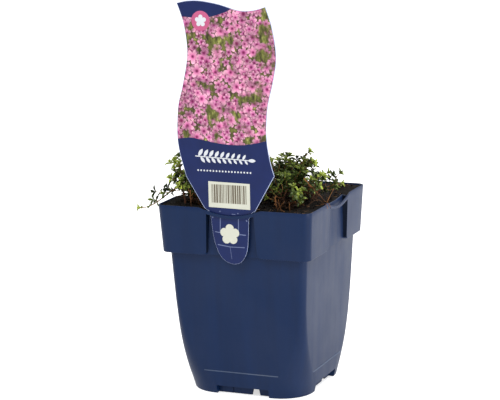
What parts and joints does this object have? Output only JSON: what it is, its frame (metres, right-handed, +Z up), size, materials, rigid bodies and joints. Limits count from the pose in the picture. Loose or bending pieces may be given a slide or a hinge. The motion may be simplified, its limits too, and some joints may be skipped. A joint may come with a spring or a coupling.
{
  "type": "potted thyme",
  "caption": "Creeping thyme growing in a square tapering plastic nursery pot with a deep rim band and a tall plant tag tucked behind its front strap.",
  "frame": {"origin": "middle of the pot's foot, on the ground plane", "axes": "+Z up, -Y out of the front side that holds the tag, +X to the right of someone who faces the tag"},
  "size_m": [0.1466, 0.1226, 0.2923],
  "materials": {
    "pot": "satin dark blue",
    "soil": "rough dark brown",
    "tag": "printed, satin",
    "leaf": "matt green",
    "dry_stem": "matt brown"
  },
  "bodies": {
    "root": {"pot": "pot", "soil": "soil", "tag": "tag", "leader_left": "leaf", "leader_right": "leaf", "stem_back_1": "leaf", "stem_back_2": "leaf", "stem_back_3": "leaf", "stem_back_4": "leaf", "stem_back_5": "leaf", "stem_back_6": "leaf", "stem_back_7": "leaf", "stem_back_8": "leaf", "stem_front_1": "leaf", "stem_front_2": "leaf", "stem_front_3": "leaf", "stem_front_4": "leaf", "stem_front_5": "leaf", "stem_left_1": "leaf", "stem_left_2": "leaf", "stem_left_3": "leaf", "stem_left_4": "leaf", "stem_left_5": "leaf", "stem_left_6": "leaf", "stem_left_7": "leaf", "stem_left_8": "leaf", "stem_left_9": "leaf", "stem_right_1": "leaf", "stem_right_10": "leaf", "stem_right_11": "leaf", "stem_right_12": "leaf", "stem_right_13": "leaf", "stem_right_14": "leaf", "stem_right_15": "leaf", "stem_right_2": "leaf", "stem_right_3": "leaf", "stem_right_4": "leaf", "stem_right_5": "leaf", "stem_right_6": "leaf", "stem_right_7": "leaf", "stem_right_8": "leaf", "stem_right_9": "leaf", "trailer_left": "leaf", "dry_stem_front": "dry_stem", "dry_stem_left": "dry_stem", "dry_stem_right": "dry_stem"}
  },
  "joints": []
}
